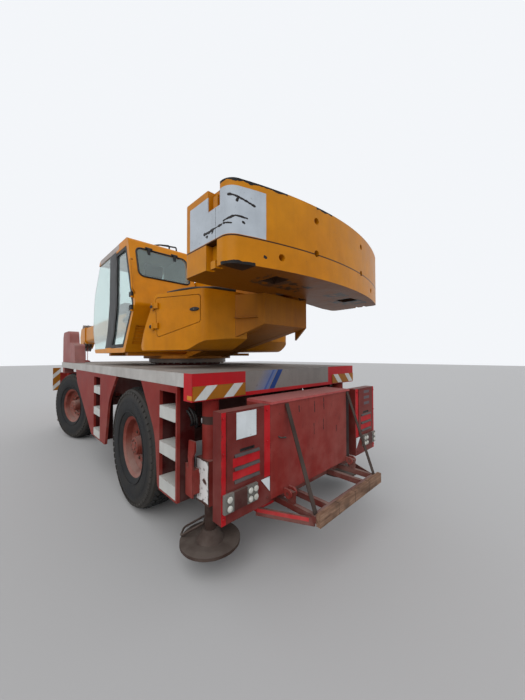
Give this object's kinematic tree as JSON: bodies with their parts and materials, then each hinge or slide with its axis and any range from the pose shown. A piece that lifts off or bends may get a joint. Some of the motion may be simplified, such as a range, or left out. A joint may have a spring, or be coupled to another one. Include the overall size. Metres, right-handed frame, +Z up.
{
  "type": "mobile crane",
  "caption": "Two-axle road-going mobile crane: red carrier with ladders, jacks and tail rack, yellow slewing upper with cab, counterweight, luffing telescopic boom and hook",
  "frame": {"origin": "on the ground under the middle of the whole machine, boom head and tail rack included", "axes": "+X forward, +Y to the machine's left, +Z up"},
  "size_m": [10.576, 2.7448, 3.352],
  "materials": {
    "carrier_paint": "faded brick red paint with dust and chips",
    "crane_paint": "chrome yellow paint",
    "deck_plate": "worn grey chequer plate with pale side skirts",
    "cast_iron": "oily cast iron",
    "bare_steel": "dull steel with rust",
    "dark_steel": "dark oily paint",
    "step_white": "white paint",
    "board_amber": "amber and white stripes",
    "lamp_plastic": "lamp lenses",
    "timber": "raw timber",
    "strap_webbing": "brown webbing",
    "cab_glass": "tinted glass",
    "chair_fabric": "grey fabric",
    "dark_plastic": "black plastic",
    "hook_paint": "dull red paint",
    "chromed_rod": "hard chrome",
    "tyre_rubber": "dusty rubber"
  },
  "bodies": {
    "carrier": {"chassis_frame": "carrier_paint", "deck": "deck_plate", "engine_block": "cast_iron", "slewing_ring": "bare_steel", "axles": "dark_steel", "rear_ladders": "carrier_paint", "side_panels": "carrier_paint", "ladder_steps": "step_white", "front_fenders": "carrier_paint", "front_bumper": "carrier_paint", "outrigger_boxes": "carrier_paint", "rear_cross_panel": "carrier_paint", "striped_boards": "board_amber", "rear_locker": "carrier_paint", "rear_cabinets": "carrier_paint", "lamps": "lamp_plastic", "rack_straps": "strap_webbing"},
    "steer_front_left": {"knuckle_front_left": "dark_steel"},
    "wheel_front_left": {"tyre_front_left": "tyre_rubber", "rim_front_left": "carrier_paint"},
    "beam_front_left": {"outrigger_beam_front_left": "carrier_paint"},
    "jack_front_left": {"outrigger_jack_front_left": "bare_steel"},
    "steer_front_right": {"knuckle_front_right": "dark_steel"},
    "wheel_front_right": {"tyre_front_right": "tyre_rubber", "rim_front_right": "carrier_paint"},
    "beam_front_right": {"outrigger_beam_front_right": "carrier_paint"},
    "jack_front_right": {"outrigger_jack_front_right": "bare_steel"},
    "steer_rear_left": {"knuckle_rear_left": "dark_steel"},
    "wheel_rear_left": {"tyre_rear_left": "tyre_rubber", "rim_rear_left": "carrier_paint"},
    "beam_rear_left": {"outrigger_beam_rear_left": "carrier_paint"},
    "jack_rear_left": {"outrigger_jack_rear_left": "bare_steel"},
    "steer_rear_right": {"knuckle_rear_right": "dark_steel"},
    "wheel_rear_right": {"tyre_rear_right": "tyre_rubber", "rim_rear_right": "carrier_paint"},
    "beam_rear_right": {"outrigger_beam_rear_right": "carrier_paint"},
    "jack_rear_right": {"outrigger_jack_rear_right": "bare_steel"},
    "rack": {"rack": "carrier_paint", "rack_timber": "timber"},
    "upper": {"turntable_frame": "crane_paint", "counterweight_lower": "crane_paint", "counterweight_upper": "crane_paint", "housing_left": "crane_paint", "housing_right": "crane_paint", "cab_shell": "crane_paint", "cab_glass": "cab_glass", "operator_chair": "chair_fabric", "cab_console": "dark_plastic"},
    "housing_door": {"housing_door": "crane_paint"},
    "cab_door": {"cab_door": "crane_paint", "door_glass": "cab_glass"},
    "winch": {"winch_drum": "bare_steel"},
    "boom": {"boom_base": "crane_paint"},
    "boom_middle": {"boom_middle": "crane_paint"},
    "boom_top": {"boom_top": "crane_paint", "head_sheaves": "dark_steel"},
    "hook": {"hook_block": "hook_paint"},
    "luff_barrel": {"luff_barrel": "crane_paint"},
    "luff_rod": {"luff_rod": "chromed_rod"}
  },
  "joints": [
    {"name": "steer_front_left", "type": "hinge", "parent": "carrier", "child": "steer_front_left", "pos_m": [0.644, 0.8, 0.686], "axis": [0, 0, 1], "range_deg": [-48, 16]},
    {"name": "spin_front_left", "type": "hinge", "parent": "steer_front_left", "child": "wheel_front_left", "pos_m": [0.57936, 1.02542, 0.686], "axis": [-0.2756, 0.9613, 0], "continuous": true},
    {"name": "steer_front_right", "type": "hinge", "parent": "carrier", "child": "steer_front_right", "pos_m": [0.644, -0.8, 0.686], "axis": [0, 0, 1], "range_deg": [-48, 16]},
    {"name": "spin_front_right", "type": "hinge", "parent": "steer_front_right", "child": "wheel_front_right", "pos_m": [0.70864, -1.02542, 0.686], "axis": [-0.2756, 0.9613, 0], "continuous": true},
    {"name": "steer_rear_left", "type": "hinge", "parent": "carrier", "child": "steer_rear_left", "pos_m": [-3.136, 0.8, 0.686], "axis": [0, 0, 1], "range_deg": [-20, 20]},
    {"name": "spin_rear_left", "type": "hinge", "parent": "steer_rear_left", "child": "wheel_rear_left", "pos_m": [-3.136, 1.0345, 0.686], "axis": [0, 1, 0], "continuous": true},
    {"name": "steer_rear_right", "type": "hinge", "parent": "carrier", "child": "steer_rear_right", "pos_m": [-3.136, -0.8, 0.686], "axis": [0, 0, 1], "range_deg": [-20, 20]},
    {"name": "spin_rear_right", "type": "hinge", "parent": "steer_rear_right", "child": "wheel_rear_right", "pos_m": [-3.136, -1.0345, 0.686], "axis": [0, 1, 0], "continuous": true},
    {"name": "outrigger_front_left", "type": "slide", "parent": "carrier", "child": "beam_front_left", "axis": [0, 1, 0], "range_m": [0, 1.3]},
    {"name": "jack_front_left", "type": "slide", "parent": "beam_front_left", "child": "jack_front_left", "axis": [0, 0, -1], "range_m": [0, 0.4]},
    {"name": "outrigger_front_right", "type": "slide", "parent": "carrier", "child": "beam_front_right", "axis": [0, -1, 0], "range_m": [0, 1.3]},
    {"name": "jack_front_right", "type": "slide", "parent": "beam_front_right", "child": "jack_front_right", "axis": [0, 0, -1], "range_m": [0, 0.4]},
    {"name": "outrigger_rear_left", "type": "slide", "parent": "carrier", "child": "beam_rear_left", "axis": [0, 1, 0], "range_m": [0, 1.3]},
    {"name": "jack_rear_left", "type": "slide", "parent": "beam_rear_left", "child": "jack_rear_left", "axis": [0, 0, -1], "range_m": [0, 0.4]},
    {"name": "outrigger_rear_right", "type": "slide", "parent": "carrier", "child": "beam_rear_right", "axis": [0, -1, 0], "range_m": [0, 1.3]},
    {"name": "jack_rear_right", "type": "slide", "parent": "beam_rear_right", "child": "jack_rear_right", "axis": [0, 0, -1], "range_m": [0, 0.4]},
    {"name": "rack_fold", "type": "hinge", "parent": "carrier", "child": "rack", "pos_m": [-4.97, 0, 0.575], "axis": [0, 1, 0], "range_deg": [0, 90], "deforming": ["rack_straps"]},
    {"name": "slewing", "type": "hinge", "parent": "carrier", "child": "upper", "pos_m": [-2.29, 0, 1.7], "axis": [0, 0, 1], "continuous": true},
    {"name": "housing_door_hinge", "type": "hinge", "parent": "upper", "child": "housing_door", "pos_m": [-3.49186, 1.10495, 2.1], "axis": [0, 0, -1], "range_deg": [0, 110]},
    {"name": "cab_door_hinge", "type": "hinge", "parent": "upper", "child": "cab_door", "pos_m": [-2.96, 1.1463, 2.5], "axis": [0, 0, 1], "range_deg": [0, 80]},
    {"name": "winch_turn", "type": "hinge", "parent": "upper", "child": "winch", "pos_m": [-4.26, 0, 2.66], "axis": [0, 1, 0], "continuous": true},
    {"name": "luffing", "type": "hinge", "parent": "upper", "child": "boom", "pos_m": [-3.64, 0, 2.6], "axis": [0, -1, 0], "range_deg": [0, 79.5]},
    {"name": "telescope_middle", "type": "slide", "parent": "boom", "child": "boom_middle", "axis": [0.9997, 0, -0.0262], "range_m": [0, 6.2]},
    {"name": "telescope_top", "type": "slide", "parent": "boom_middle", "child": "boom_top", "axis": [0.9997, 0, -0.0262], "range_m": [0, 6.2]},
    {"name": "hook_swing", "type": "hinge", "parent": "boom_top", "child": "hook", "pos_m": [5.10402, 0, 2.06593], "axis": [0, 1, 0], "range_deg": [-10, 80]},
    {"name": "luff_barrel_turn", "type": "hinge", "parent": "upper", "child": "luff_barrel", "pos_m": [-3.09, 0, 2], "axis": [0, -1, 0], "range_deg": [0, 78.81]},
    {"name": "luff_rod_slide", "type": "slide", "parent": "luff_barrel", "child": "luff_rod", "axis": [0.996, 0, 0.0896], "range_m": [0, 1.0405]}
  ],
  "couplings": [
    {"joint": "steer_front_right", "follows": "steer_front_left", "ratio": 1},
    {"joint": "steer_rear_right", "follows": "steer_rear_left", "ratio": 1},
    {"joint": "telescope_top", "follows": "telescope_middle", "ratio": 1},
    {"joint": "luff_barrel_turn", "follows": "luffing", "ratio": 0.99122},
    {"joint": "luff_rod_slide", "follows": "luffing", "m_per_rad": 0.74974}
  ]
}
